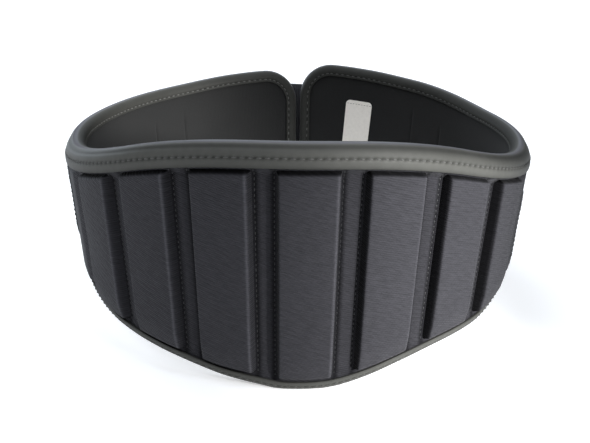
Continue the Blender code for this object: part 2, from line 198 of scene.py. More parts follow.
# The cloth lies flat in the channels between the pads, dips at their seams, and stands out at both
# sides of the belt, where no seam holds it.
PAD_COUNT, PAD_PITCH, PAD_WIDTH, PAD_ROW_SHIFT = 7, 0.0457, 0.0330, 0.0057
PAD_MIDDLES = [PAD_ROW_SHIFT + (i - (PAD_COUNT - 1) / 2) * PAD_PITCH for i in range(PAD_COUNT)]
SEAM_FROM_PAD = 0.0012
SEAM_WIDTH, SEAM_DEPTH = 0.0008, 0.0006
COVER_PRESSED, PRESSED_TO, PRESSED_EASE = 0.0013, 0.0015, 0.002
CHANNEL_CROWN, CHANNEL_EASE = 0.0005, 0.005
SIDE_SWELL, SIDE_SWELL_GAP, SIDE_SWELL_RISE = 0.0045, 0.0055, 0.008
SEAMS = np.array([m + side * (PAD_WIDTH / 2 + SEAM_FROM_PAD) for m in PAD_MIDDLES for side in (-1, 1)])
WEAVE_PITCH, WEAVE_TURN = 0.00125, math.radians(-16)
FLOAT_PITCH, FLOAT_TURN = WEAVE_PITCH * 1.7, math.radians(38)
SLUBS_PER_METRE, SLUB_TURN = (170, 680, 1), math.radians(22)
COVER_DARK, COVER_LIGHT = (0.0085, 0.0083, 0.0103, 1), (0.0350, 0.0340, 0.0402, 1)
LINT_COLOUR, LINT_PER_METRE, LINT_SIZE = (0.16, 0.16, 0.165, 1), 34, 0.0004
FUZZ_PER_METRE, PATCHES_PER_METRE = 1400, 38
# Painted shade, as a share of the cloth's colour on an open face: in a seam, and under the top binding.
SEAM_SHADE, SEAM_SHADE_WIDTH = 0.35, 0.0024
UNDER_BINDING_SHADE, UNDER_BINDING_SHADE_FADE = 0.95, 0.003


def points_of(piece):
    """The points of a mesh as rows of x, y and z."""
    points = np.empty(len(piece.data.vertices) * 3)
    piece.data.vertices.foreach_get("co", points)
    return points.reshape(-1, 3)


def move_points(piece, points):
    """Put the points of a mesh at new places."""
    piece.data.vertices.foreach_set("co", np.asarray(points, float).ravel())
    piece.data.update()


def bend_round(piece):
    """Bend a flat piece into the ring."""
    along, back, height = points_of(piece).T
    lean = math.hypot(1, RING_SLOPE)
    radius = RING_RADIUS + RING_SLOPE * (height - RING_HEIGHT) - back / lean
    angle = along / RING_RADIUS
    rise = height + back * RING_SLOPE / lean
    ring = np.column_stack([radius * np.sin(angle), -radius * np.cos(angle), rise])
    move_points(piece, ring + np.array(RING_CENTRE))


def lay_cloth(piece, across, up):
    """Give each point its place on the cloth, in metres, as the piece's UV map."""
    layer = piece.data.uv_layers[0] if piece.data.uv_layers else piece.data.uv_layers.new()
    layer.name = "Cloth"
    corners = np.empty(len(piece.data.loops), int)
    piece.data.loops.foreach_get("vertex_index", corners)
    layer.data.foreach_set("uv", np.column_stack([across[corners], up[corners]]).ravel())


def mark_points(piece, name, values):
    """Keep a value for each point of a piece, for its material to read."""
    piece.data.attributes.new(name, "FLOAT", "POINT").data.foreach_set("value", values)


def new_sheet(name, columns, rows):
    """A flat grid with that many columns and rows of points, and each point's column and row."""
    bpy.ops.object.select_all(action="DESELECT")
    bpy.ops.mesh.primitive_grid_add(size=1, x_subdivisions=columns - 1, y_subdivisions=rows - 1)
    sheet = bpy.context.active_object
    sheet.name = sheet.data.name = name
    points = points_of(sheet)
    column = np.rint((points[:, 0] + 0.5) * (columns - 1)).astype(int)
    row = np.rint((points[:, 1] + 0.5) * (rows - 1)).astype(int)
    return sheet, column, row


def finish_with(piece, kind, **settings):
    """Add a modifier and apply it."""
    modifier = piece.modifiers.new(kind.title(), kind)
    for name, value in settings.items():
        setattr(modifier, name, value)
    bpy.context.view_layer.objects.active = piece
    bpy.ops.object.modifier_apply(modifier=modifier.name)


def finish_piece(piece, material, slot, *nodes, crease=50):
    """Shade a piece, with edges sharper than crease degrees left sharp, give it its material and put
    it on the belt in place of its solids."""
    bpy.ops.object.select_all(action="DESELECT")
    piece.select_set(True)
    bpy.context.view_layer.objects.active = piece
    bpy.ops.object.shade_smooth_by_angle(angle=math.radians(crease))
    piece.data.materials.clear()
    piece.data.materials.append(material)
    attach(piece, "root")
    if nodes:
        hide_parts(*nodes)


def add_node(tree, kind, inputs=None, **settings):
    """Add a shader node: inputs are values or the sockets to link from."""
    node = tree.nodes.new(kind)
    for name, value in settings.items():
        setattr(node, name, value)
    for name, value in (inputs or {}).items():
        socket = node.inputs[name]
        if isinstance(value, bpy.types.NodeSocket):
            tree.links.new(value, socket)
        else:
            socket.default_value = value
    return node


def math_node(tree, operation, first, second=0.0):
    """Add a Math node and return its output."""
    return add_node(tree, "ShaderNodeMath", {0: first, 1: second}, operation=operation).outputs[0]


def new_material(name, roughness, **sockets):
    """A material with its Principled shader's even values set."""
    material = bpy.data.materials.new(name)
    material.use_nodes = True
    shader = material.node_tree.nodes["Principled BSDF"]
    shader.inputs["Roughness"].default_value = roughness
    for socket, value in sockets.items():
        shader.inputs[socket.replace("_", " ")].default_value = value
    return material, material.node_tree, shader


def band(tree, vector, pitch, distortion=0.0, detail=2.0, detail_scale=1.0):
    """A wave texture's bands at a real pitch."""
    inputs = {"Vector": vector, "Scale": 2 * math.pi / (20 * pitch)}
    inputs.update({"Distortion": distortion, "Detail": detail, "Detail Scale": detail_scale})
    return add_node(tree, "ShaderNodeTexWave", inputs, bands_direction="X").outputs["Fac"]


def noise(tree, vector, scale, detail):
    """A noise texture's value."""
    inputs = {"Vector": vector, "Scale": scale, "Detail": detail}
    return add_node(tree, "ShaderNodeTexNoise", inputs).outputs["Fac"]


def turned(tree, vector, turn):
    """Places turned on the cloth."""
    return add_node(tree, "ShaderNodeMapping", {"Vector": vector, "Rotation": (0, 0, turn)}).outputs[0]


def span(tree, value, low, high):
    """A value as a share of the way from low to high, kept between 0 and 1."""
    inputs = {"Value": value, "From Min": low, "From Max": high}
    return add_node(tree, "ShaderNodeMapRange", inputs).outputs[0]


def weighted(tree, *parts):
    """The sum of values, each given with its weight."""
    total = 0.0
    for value, weight in parts:
        share = math_node(tree, "MULTIPLY", value, weight)
        total = math_node(tree, "ADD", total, share)
    return total


def mix_colours(tree, share, first, second):
    """The colour that is a share of the way from the first to the second."""
    inputs = {"Factor": share, "A": first, "B": second}
    return add_node(tree, "ShaderNodeMix", inputs, data_type="RGBA").outputs["Result"]


def set_finish(tree, shader, colour, height, strength, distance):
    """Give the shader its colour, and a bump of that height."""
    bump = add_node(tree, "ShaderNodeBump", {"Height": height, "Strength": strength, "Distance": distance})
    tree.links.new(colour, shader.inputs["Base Color"])
    tree.links.new(bump.outputs[0], shader.inputs["Normal"])


def with_painted_light(tree, colour):
    """A colour multiplied by the piece's painted light and shade, and that painted light itself."""
    painted_light = add_node(tree, "ShaderNodeAttribute", attribute_name="painted_light").outputs["Fac"]
    inputs = {"Factor": 1.0, "A": colour, "B": painted_light}
    shaded_colour = add_node(tree, "ShaderNodeMix", inputs, data_type="RGBA", blend_type="MULTIPLY")
    return shaded_colour.outputs["Result"], painted_light


def woven_cover():
    """Black twill: slanting ribs broken into floats, uneven slubs, the piece's painted light and shade, and
    a little lint.
    """
    material, tree, shader = new_material("woven_cover", 0.85, Sheen_Weight=0.04, Sheen_Roughness=0.45)
    cloth = add_node(tree, "ShaderNodeUVMap", uv_map="Cloth").outputs[0]
    ribs = band(tree, turned(tree, cloth, math.radians(90) - WEAVE_TURN), WEAVE_PITCH, 1.2, 1.0, 0.6)
    floats = band(tree, turned(tree, cloth, FLOAT_TURN), FLOAT_PITCH, 0.8)
    yarn = math_node(tree, "MULTIPLY", ribs, weighted(tree, (floats, 0.4), (1.0, 0.6)))
    fuzz = noise(tree, cloth, FUZZ_PER_METRE, 2)
    patches = noise(tree, cloth, PATCHES_PER_METRE, 4)
    along_slubs = {"Vector": turned(tree, cloth, SLUB_TURN), "Scale": SLUBS_PER_METRE}
    slubs = noise(tree, add_node(tree, "ShaderNodeMapping", along_slubs).outputs[0], 1.0, 1.5)
    slubs = span(tree, slubs, 0.32, 0.68)
    shade = weighted(tree, (yarn, 0.20), (fuzz, 0.26), (patches, 0.20), (slubs, 0.29))
    # Painted shade darkens the colour and dims the gloss in the seams, down the pads' walls, at their ends
    # and under the binding; painted highlight lightens the pads' right rims.
    shaded_colour, painted_light = with_painted_light(tree, mix_colours(tree, shade, COVER_DARK, COVER_LIGHT))
    tree.links.new(math_node(tree, "MULTIPLY", painted_light, 0.3), shader.inputs["Specular IOR Level"])
    specks = add_node(tree, "ShaderNodeTexVoronoi", {"Vector": cloth, "Scale": LINT_PER_METRE})
    speck = LINT_SIZE * LINT_PER_METRE
    lint = span(tree, specks.outputs["Distance"], speck, 0.6 * speck)
    height = weighted(tree, (yarn, 1.0), (fuzz, 0.5), (slubs, 1.2))
    set_finish(tree, shader, mix_colours(tree, lint, shaded_colour, LINT_COLOUR), height, 0.75, 0.00025)
    return material


cover = woven_cover()

COVER_FIRST, COVER_LAST = LEFT_END + RIM_DEPTH, RIGHT_END - RIM_DEPTH
COVER_STEP, COVER_END_STEP, COVER_END_REACH = 0.005, 0.00125, 0.040
SEAM_STEPS = np.array((-2.4, -1.5, -0.9, -0.4, 0, 0.4, 0.9, 1.5, 2.4)) / 1000
COVER_END_COLUMNS = np.arange(-COVER_END_REACH, COVER_END_REACH, COVER_END_STEP)
columns = [np.arange(LEFT_END, RIGHT_END, COVER_STEP), (SEAMS[:, None] + SEAM_STEPS).ravel()]
columns += [end + COVER_END_COLUMNS for end in (LEFT_END, RIGHT_END)]
columns = np.unique(np.round(np.clip(np.concatenate(columns), COVER_FIRST, COVER_LAST), 6))
COVER_TOP_ROWS = np.array((1.5, 2.5, 4, 6, 8, 10, 12, 13.5, 14.4, 15.3, 16.2, 17.1, 18, 20)) / 1000
COVER_BOTTOM_ROWS = np.array((1.5, 2.5, 3.5, 4.5, 5.5, 6.5, 7.4, 8.3, 9.2, 10.1, 11, 13)) / 1000
COVER_MIDDLE_ROWS = 16


def rows_between(bottom_steps, top_steps, count):
    """Rows up a piece, as shares of its height and steps from there: set rows at both edges, and
    count rows spread evenly between them."""
    share = np.linspace(0, 1, count + 2)[1:-1]
    steps = bottom_steps[-1] * (1 - share) - top_steps[-1] * share
    shares = np.concatenate([np.zeros(len(bottom_steps)), share, np.ones(len(top_steps))])
    return shares, np.concatenate([bottom_steps, steps, -top_steps[::-1]])


def corner_drop(along, depth=0.0):
    """How far the rounded ends cut into the top and bottom edges, on a line depth inside them."""
    radius = CORNER_RADIUS - depth
    over = np.clip(np.abs(along) - (HALF_RING - END_GAP / 2 - CORNER_RADIUS), 0, radius)
    return radius - np.sqrt(radius ** 2 - over ** 2)


def cover_proud(along, height):
    """How proud the woven cover stands: the wall's face, drawn in by the seams beside the pads and
    pressed down under the binding."""
    distance, leg, swell = from_edge(along, height)
    proud = wall_proud(distance, leg, swell)
    gap = np.abs(along[:, None] - SEAMS[None, :]).min(axis=1)
    open_cloth = smooth_step((distance - leg) / SWELL_FADE)
    past_row = np.maximum(SEAMS[0] - along, along - SEAMS[-1])
    side = SIDE_SWELL * smooth_step((past_row - SIDE_SWELL_GAP) / SIDE_SWELL_RISE)
    crown = CHANNEL_CROWN * smooth_step(gap / CHANNEL_EASE) * smooth_step(1 - past_row / SIDE_SWELL_GAP)
    drawn_in = SEAM_DEPTH * np.exp(-(gap / SEAM_WIDTH) ** 2)
    pressed = COVER_PRESSED * smooth_step((leg - PRESSED_TO - distance) / PRESSED_EASE)
    return proud - pressed + open_cloth * (np.maximum(side - proud, 0) + crown - drawn_in)


def cover_shade(along, height):
    """Painted shade on the wall: darker in the seams and under the top binding."""
    distance, leg, _ = from_edge(along, height)
    gap = np.abs(along[:, None] - SEAMS[None, :]).min(axis=1)
    seam = 1 - (1 - SEAM_SHADE) * np.exp(-(gap / SEAM_SHADE_WIDTH) ** 2)
    return seam * (UNDER_BINDING_SHADE + (1 - UNDER_BINDING_SHADE) * smooth_step((distance - leg) / UNDER_BINDING_SHADE_FADE))


row_shares, row_steps = rows_between(COVER_BOTTOM_ROWS, COVER_TOP_ROWS, COVER_MIDDLE_ROWS)
wall, column, row = new_sheet("woven_wall", len(columns), len(row_shares))
along = columns[column]
low = bottom_edge(along) + corner_drop(along, RIM_DEPTH)
high = top_edge(along) - corner_drop(along, RIM_DEPTH)
height = low + (high - low) * row_shares[row] + row_steps[row]
move_points(wall, np.column_stack([along, -cover_proud(along, height), height]))
lay_cloth(wall, along, height)
# Painted shade in the seams beside the pads and under the top binding, kept on each point for the cover's
# material.
mark_points(wall, "painted_light", cover_shade(along, height))
finish_with(wall, "SOLIDIFY", thickness=WALL_THICKNESS - WALL_INSIDE_GAP, offset=-1)
points = points_of(wall)
points[:, 0] = np.clip(points[:, 0], COVER_FIRST, COVER_LAST)
move_points(wall, points)
bend_round(wall)
finish_piece(wall, cover, "woven_cover", "foam_wall", crease=75)

# The lining
# A thin brushed knit bonded to the inside of the foam. Seams that hold the straps outside come
# through it as sunken lines near both ends.
LINING_SEAMS = (
    # degrees round the ring, lowest and highest point in millimetres
    (-131, 30, 96),
    (-142, 30, 98),
    (142, 26, 104),
    (131, 30, 96),
)
LINING_THICKNESS, LINING_MARGIN, LINING_SKIN = 0.0012, 0.004, 0.0006
LINING_FACE = -(WALL_THICKNESS + CLEARANCE + LINING_THICKNESS)
LINING_STEP, LINING_ROWS = 0.006, 40
GROOVE_DEPTH, GROOVE_WIDTH, GROOVE_FADE = 0.0009, 0.0008, 0.004
GROOVE_STEPS = (-0.002, -0.0012, -0.0006, 0, 0.0006, 0.0012, 0.002)
KNIT_PITCH, NAP_PER_METRE, WORN_PER_METRE = 0.0011, 900, 25
LINING_DARK, LINING_LIGHT = (0.0075, 0.0075, 0.0075, 1), (0.0170, 0.0170, 0.0165, 1)


def knit_lining():
    """Black brushed knit: fine upright wales under a short nap."""
    material, tree, shader = new_material(
        "knit_lining", 0.95, Sheen_Weight=0.03, Sheen_Roughness=0.6, Specular_IOR_Level=0.2)
    cloth = add_node(tree, "ShaderNodeUVMap", uv_map="Cloth").outputs[0]
    wales = band(tree, cloth, KNIT_PITCH, 0.7, 1.0)
    nap = noise(tree, cloth, NAP_PER_METRE, 3)
    shade = weighted(tree, (nap, 0.5), (noise(tree, cloth, WORN_PER_METRE, 3), 0.5))
    height = weighted(tree, (wales, 0.5), (nap, 1.0))
    set_finish(tree, shader, mix_colours(tree, shade, LINING_DARK, LINING_LIGHT), height, 0.4, 0.0002)
    return material


lining_columns = set(np.round(np.arange(LEFT_END, RIGHT_END, LINING_STEP), 6)) | {RIGHT_END}
for degrees, _, _ in LINING_SEAMS:
    seam = math.radians(degrees) * RING_RADIUS
    lining_columns |= {round(seam + step, 6) for step in GROOVE_STEPS}
lining_columns = np.array(sorted(lining_columns))
lining, column, row = new_sheet("lining_knit", len(lining_columns), LINING_ROWS)
along = np.clip(lining_columns[column][::-1], LEFT_END + LINING_MARGIN, RIGHT_END - LINING_MARGIN)
low = bottom_edge(along) + corner_drop(along) + LINING_MARGIN
high = top_edge(along) - corner_drop(along) - LINING_MARGIN
height = low + (high - low) * row / (LINING_ROWS - 1)
face = np.full(len(along), LINING_FACE)
for degrees, seam_low, seam_high in LINING_SEAMS:
    gap = np.abs(along - math.radians(degrees) * RING_RADIUS)
    above = smooth_step((height - seam_low / 1000) / GROOVE_FADE)
    below = smooth_step((seam_high / 1000 - height) / GROOVE_FADE)
    face = face + GROOVE_DEPTH * np.exp(-(gap / GROOVE_WIDTH) ** 2) * (above * below)
move_points(lining, np.column_stack([along, -face, height]))
lay_cloth(lining, along, height)
finish_with(lining, "SOLIDIFY", thickness=LINING_SKIN, offset=-1)
bend_round(lining)
finish_piece(lining, knit_lining(), "knit_lining", "lining")

# The raised pads
# Seven upright blocks of firmer foam under the same cloth, which is pulled tight over their edges.
# They start just under the top binding and run down to the bottom one, where they thin out.
PAD_HEIGHT = 0.0067
PAD_SIDE = np.array((
    # distance in from the pad's foot in millimetres, share of its height
    (0.0, 0.00),
    (0.3, 0.20),
    (0.8, 0.50),
    (1.2, 0.74),
    (1.6, 0.89),
    (2.1, 0.965),
    (2.8, 0.995),
    (4.2, 1.00),
))
PAD_SIDE_STEPS = np.array((0, 0.3, 0.6, 1, 1.4, 1.75, 2.1, 2.4, 2.7, 3.1, 3.6, 4.2, 6, 8, 10, 12, 14)) / 1000
PAD_END_STEPS = np.array((0, 0.3, 0.7, 1.1, 1.6, 2.1, 2.6, 3.2, 4.2, 6, 9, 12, 16, 21)) / 1000
PAD_MIDDLE_ROWS = 22
PAD_END_GAP = 0.0018
PAD_SINK, PAD_SKIN = 0.0004, 0.0006
PAD_SWAY, SWAY_AROUND, SWAY_UP = 0.00012, 170, 130
PAD_CLOTH_SHIFT = 0.4
PAD_FOOT_THIN, PAD_FOOT_FADE = 0.0016, 0.014
# Painted shade down a pad's left and right walls and at its ends, as a share of its colour, and a painted
# highlight along each pad's right rim.
LEFT_WALL_SHADE, RIGHT_WALL_SHADE, PAD_END_SHADE = 0.16, 0.85, 0.15
WALL_SHADE_DEPTH, WALL_SHADE_FADE = 0.0010, 0.0012
RIM_HIGHLIGHTS = (1.80, 1.95, 1.95, 1.70, 1.30, 1.20, 1.20)
RIM_PLACE, RIM_WIDTH = 0.0022, 0.0008

pad_columns = np.concatenate([PAD_SIDE_STEPS - PAD_WIDTH / 2, [0], PAD_WIDTH / 2 - PAD_SIDE_STEPS[::-1]])
pad_shares, pad_steps = rows_between(PAD_END_STEPS, PAD_END_STEPS, PAD_MIDDLE_ROWS)
for number, (middle, rim_highlight) in enumerate(zip(PAD_MIDDLES, RIM_HIGHLIGHTS), start=1):
    pad, column, row = new_sheet(f"foam_pad_{number}", len(pad_columns), len(pad_shares))
    sideways = pad_columns[column]
    along = middle + sideways
    low = bottom_edge(along) + BOTTOM_LEG + PAD_END_GAP
    high = top_edge(along) - TOP_LEG - PAD_END_GAP
    height = low + (high - low) * pad_shares[row] + pad_steps[row]
    inward = PAD_WIDTH / 2 - np.abs(sideways)
    endward = np.minimum(height - low, high - height)
    share = read_table(PAD_SIDE, 1, 1000 * inward) * read_table(PAD_SIDE, 1, 1000 * endward)
    foot = cover_proud(along, height) - PAD_SINK
    full = PAD_HEIGHT - PAD_FOOT_THIN * (1 - smooth_step((height - low) / PAD_FOOT_FADE))
    sway = PAD_SWAY * np.sin(along * SWAY_AROUND + number) * np.sin(height * SWAY_UP + 2 * number)
    proud = foot + (full + sway - foot) * share
    move_points(pad, np.column_stack([along, -proud, height]))
    lay_cloth(pad, along, height + PAD_CLOTH_SHIFT * number)
    # Painted shade down the pad's walls, darkest on the left, away from the key lamp, and at its ends; a
    # painted highlight along its right rim.
    wall_shade = np.where(sideways < 0, LEFT_WALL_SHADE, RIGHT_WALL_SHADE)
    painted_light = wall_shade + (1 - wall_shade) * smooth_step((inward - WALL_SHADE_DEPTH) / WALL_SHADE_FADE)
    painted_light += (rim_highlight - 1) * (sideways > 0) * np.exp(-((inward - RIM_PLACE) / RIM_WIDTH) ** 2)
    painted_light *= PAD_END_SHADE + (1 - PAD_END_SHADE) * smooth_step((endward - WALL_SHADE_DEPTH) / WALL_SHADE_FADE)
    mark_points(pad, "painted_light", painted_light)
    finish_with(pad, "SOLIDIFY", thickness=PAD_SKIN, offset=-1)
    bend_round(pad)
    finish_piece(pad, cover, "woven_cover", f"pad_{number}", crease=60)

# The edge binding
# Smooth synthetic leather tape folded over the rim and sewn through with one row of long stitches.
# Its raw edges are turned under, which leaves a soft roll on each side of the sunken row.
OUTER_SHARES = np.array((
    # places across the outer face, from its edge (0) to the crest of the rim (1), as shares of depth
    0, 0.04, 0.09, 0.15, 0.21, 0.28, 0.34, 0.39, 0.44, 0.49, 0.54, 0.59,
    0.65, 0.71, 0.76, 0.805, 0.85, 0.885, 0.92, 0.95, 0.98, 0.995, 1,
))
BINDING_RELIEF = np.array((
    # share across the outer face, height of the relief in millimetres
    (0.00, -0.30),
    (0.04, -0.10),
    (0.12, 0.03),
    (0.28, 0.10),
    (0.40, 0.04),
    (0.49, -0.16),
    (0.58, 0.02),
    (0.71, 0.06),
    (0.80, 0.00),
    (0.87, -0.22),
    (0.93, 0.06),
    (1.00, 0.10),
))
INNER_EDGE = np.array((
    # depth and relief, in millimetres, across the inner leg
    (4.6, 0.05),
    (5.2, -0.05),
    (5.7, -0.32),
    (6.2, -0.02),
    (6.8, 0.25),
    (7.2, 0.10),
    (7.5, -0.35),
))
BINDING_PAINTED_LIGHT = np.array((
    # share across the outer face, the tape's painted light there: highlight on the crest, shade in the
    # grooves and at the edge
    (0.00, 0.70),
    (0.05, 0.75),
    (0.12, 0.86),
    (0.21, 0.98),
    (0.30, 1.03),
    (0.40, 1.04),
    (0.49, 0.95),
    (0.60, 1.04),
    (0.76, 1.04),
    (0.83, 0.95),
    (0.885, 0.72),
    (0.92, 0.68),
    (0.95, 0.85),
    (0.98, 1.45),
    (1.00, 1.85),
))
# Painted highlight over the crest, fading to painted shade down the inner face, and painted shade on the
# inside leg.
OVER_PAINTED_LIGHT, INSIDE_SHADE = (1.65, 0.95, 0.65, 0.55, 0.50, 0.50), 0.50
OUTER_TROUGH, INNER_TROUGH = 0.49, 5.7
HOLE_DEPTH, HOLE_SPREAD = 0.45, 0.06
# Painted shade in each stitch hole and a painted highlight on each pucker between holes, and how far across
# the tape they spread.
STITCH_LIGHT_SPREAD, HOLE_SHADE, PUCKER_HIGHLIGHT = 0.075, 0.50, 0.22
INNER_ROUNDING, OVER_STEP = 0.0024, 15
TAPE_DARK, TAPE_LIGHT = (0.045, 0.045, 0.0405, 1), (0.080, 0.080, 0.073, 1)
# Painted highlight: a lavender tint, with more gloss and less roughness, where the tape's painted light
# passes a threshold on the crest.
HIGHLIGHT_COLOUR, HIGHLIGHT_FROM = (0.085, 0.081, 0.102, 1), 1.20
GRAIN_PER_METRE, CREASES_PER_METRE, SHADES_PER_METRE = 1500, 240, 30


def edit_whole(piece, *steps):
    """Run edit mode operators on a whole piece, each given as its operator and settings."""
    bpy.ops.object.select_all(action="DESELECT")
    piece.select_set(True)
    bpy.context.view_layer.objects.active = piece
    bpy.ops.object.mode_set(mode="EDIT")
    for operator, settings in steps:
        bpy.ops.mesh.select_all(action="SELECT")
        operator(**settings)
    bpy.ops.object.mode_set(mode="OBJECT")


def offset_line(line, distance):
    """Move a line of points sideways, to its left where distance is positive."""
    steps = np.diff(line, axis=0)
    steps /= np.linalg.norm(steps, axis=1)[:, None]
    before, after = np.vstack([steps[:1], steps]), np.vstack([steps, steps[-1:]])
    middle = before + after
    middle /= np.linalg.norm(middle, axis=1)[:, None]
    reach = distance / np.maximum(0.5, np.sum(middle * after, axis=1))
    return line + np.column_stack([-middle[:, 1], middle[:, 0]]) * np.reshape(reach, (-1, 1))


def binding_section(leg, swell, hole):
    """The tape's section as depths and prouds, over its outer face from the outer edge to the inner
    one and back along its inner face. hole is 1 where the needle went through."""
    outer_depth = leg - OUTER_SHARES * (leg - RIM_DEPTH)
    outside = np.column_stack([outer_depth, wall_proud(outer_depth, leg, swell)])
    turn = np.radians(np.arange(OVER_STEP, 91, OVER_STEP))
    over = np.column_stack([
        RIM_DEPTH + INNER_ROUNDING * (1 - np.cos(turn)),
        CREST_PROUD + (LINING_FACE - CREST_PROUD) * np.sin(turn),
    ])
    inside = np.column_stack([INNER_EDGE[:, 0] / 1000, np.full(len(INNER_EDGE), LINING_FACE)])
    relief = read_table(BINDING_RELIEF, 1, OUTER_SHARES)
    relief = relief - hole * HOLE_DEPTH * np.exp(-((OUTER_SHARES - OUTER_TROUGH) / HOLE_SPREAD) ** 2)
    relief = relief * min(1.0, leg / TOP_LEG + 0.1)
    inner_hole = hole * HOLE_DEPTH * (INNER_EDGE[:, 0] == INNER_TROUGH)
    relief = np.concatenate([relief, np.zeros(len(over)), INNER_EDGE[:, 1] - inner_hole]) / 1000
    rim = np.vstack([outside, over, inside])
    skin = offset_line(rim, -(CLEARANCE + TAPE_THICKNESS) - relief)
    return np.vstack([skin, offset_line(rim, -CLEARANCE)[::-1]])


def binding_tape():
    """Smooth dark grey tape with a fine grain, under the piece's painted light and shade, with a lavender
    painted highlight and more gloss on the crest.
    """
    material, tree, shader = new_material("binding_tape", 0.60)
    place = add_node(tree, "ShaderNodeTexCoord").outputs["Object"]
    cells = add_node(tree, "ShaderNodeTexVoronoi", {"Vector": place, "Scale": GRAIN_PER_METRE})
    creases = noise(tree, place, CREASES_PER_METRE, 5)
    shade = weighted(tree, (creases, 0.4), (noise(tree, place, SHADES_PER_METRE, 3), 0.6))
    shaded_colour, painted_light = with_painted_light(tree, mix_colours(tree, shade, TAPE_DARK, TAPE_LIGHT))
    # Painted highlight on the crest, where the painted light passes the threshold; it also raises the gloss
    # there.
    crest_highlight = math_node(tree, "MAXIMUM", math_node(tree, "SUBTRACT", painted_light, HIGHLIGHT_FROM), 0.0)
    gloss = weighted(tree, (painted_light, 0.14), (crest_highlight, 0.4))
    roughness = math_node(tree, "SUBTRACT", 0.58, math_node(tree, "MULTIPLY", crest_highlight, 0.35))
    tree.links.new(gloss, shader.inputs["Specular IOR Level"])
    tree.links.new(roughness, shader.inputs["Roughness"])
    height = weighted(tree, (cells.outputs["Distance"], 0.4), (creases, 1.0))
    set_finish(tree, shader, mix_colours(tree, crest_highlight, shaded_colour, HIGHLIGHT_COLOUR), height, 0.25, 0.0002)
    return material


sections = [binding_section(leg, swell, i % 2) for i, (leg, swell) in enumerate(OUTLINE[:, 4:])]
around = len(sections[0])
binding, station, point = new_sheet("tape_binding", len(OUTLINE) + 1, around + 1)
run = np.cumsum(np.hypot(*(OUTLINE[:, :2] - np.roll(OUTLINE[:, :2], 1, axis=0)).T))
run_place = np.append(run - run[0], run[-1])[station]
flat = np.array([
    np.column_stack([
        place[0] - place[2] * section[:, 0],
        -section[:, 1],
        place[1] - place[3] * section[:, 0],
    ])
    for place, section in zip(OUTLINE, sections)
])
move_points(binding, flat[station % len(OUTLINE), point % around])
lay_cloth(binding, run_place, point * 0.001)
# The tape's painted light across its section: highlight on the crest and over the rim, shade in the grooves,
# at the edge and down the inside.
outside_painted_light = np.append(read_table(BINDING_PAINTED_LIGHT, 1, OUTER_SHARES), OVER_PAINTED_LIGHT)
skin_painted_light = np.append(outside_painted_light, np.full(around - len(outside_painted_light), INSIDE_SHADE))
# At each stitch, painted shade in the hole and a painted highlight on the tape puckered between holes.
pull = np.zeros(around)
pull[:len(OUTER_SHARES)] = np.exp(-((OUTER_SHARES - OUTER_TROUGH) / STITCH_LIGHT_SPREAD) ** 2)
stitch_light = np.where(station % 2, -HOLE_SHADE, PUCKER_HIGHLIGHT) * pull[point % around]
mark_points(binding, "painted_light", skin_painted_light[point % around] * (1 + stitch_light))
edit_whole(
    binding,
    (bpy.ops.mesh.remove_doubles, {"threshold": 1e-6}),
    (bpy.ops.mesh.normals_make_consistent, {"inside": False}),
)
bend_round(binding)
points = points_of(binding)
points[:, 2] = np.maximum(points[:, 2], 0.0)
move_points(binding, points)
finish_piece(binding, binding_tape(), "binding_tape", "edge_binding")

# The stitches through the binding
# One row of thick grey thread all round, sunk between the rolls outside and showing again inside.
# Each stitch is a short swollen length of thread whose ends dive into the tape.
THREAD_DARK, THREAD_LIGHT = (0.035, 0.035, 0.032, 1), (0.085, 0.084, 0.078, 1)
STITCH_LENGTH, THREAD_WIDTH = 0.0026, 0.0009
STITCH_SINK, PLIES_PER_METRE = 0.55, 2500


def twisted_thread(name, dark, light, roughness):
    """Twisted thread: fine slanting plies with a slight gloss."""
    material, tree, shader = new_material(name, roughness)
    place = add_node(tree, "ShaderNodeTexCoord").outputs["Object"]
    plies = noise(tree, place, PLIES_PER_METRE, 1)
    set_finish(tree, shader, mix_colours(tree, plies, dark, light), plies, 0.5, 0.0001)
    return material


def sew(name, places, along_seam, outward, length, width, material, slot):
    """Lay one stitch at each place: its centre, the way that the seam runs and the way out."""
    bpy.ops.object.select_all(action="DESELECT")
    bpy.ops.mesh.primitive_uv_sphere_add(segments=6, ring_count=5, radius=0.5)
    seam = bpy.context.active_object
    seam.name = seam.data.name = name
    one = points_of(seam)
    apart = {"use_relative_offset": False, "use_constant_offset": True}
    finish_with(seam, "ARRAY", count=len(places), constant_offset_displace=(0, 0, 2), **apart)
    across = np.cross(along_seam, outward)
    dive = STITCH_SINK * width * (1 - 6 * (one[:, 2] * one[:, 2]))
    shape = (
        along_seam[:, None] * (one[:, 2] * length)[None, :, None]
        + across[:, None] * (one[:, 0] * width)[None, :, None]
        + outward[:, None] * (one[:, 1] * width + dive - 0.5 * STITCH_SINK * width)[None, :, None]
    )
    move_points(seam, (places[:, None] + shape).reshape(-1, 3))
    edit_whole(seam, (bpy.ops.mesh.normals_make_consistent, {"inside": False}))
    bend_round(seam)
    finish_piece(seam, material, slot)


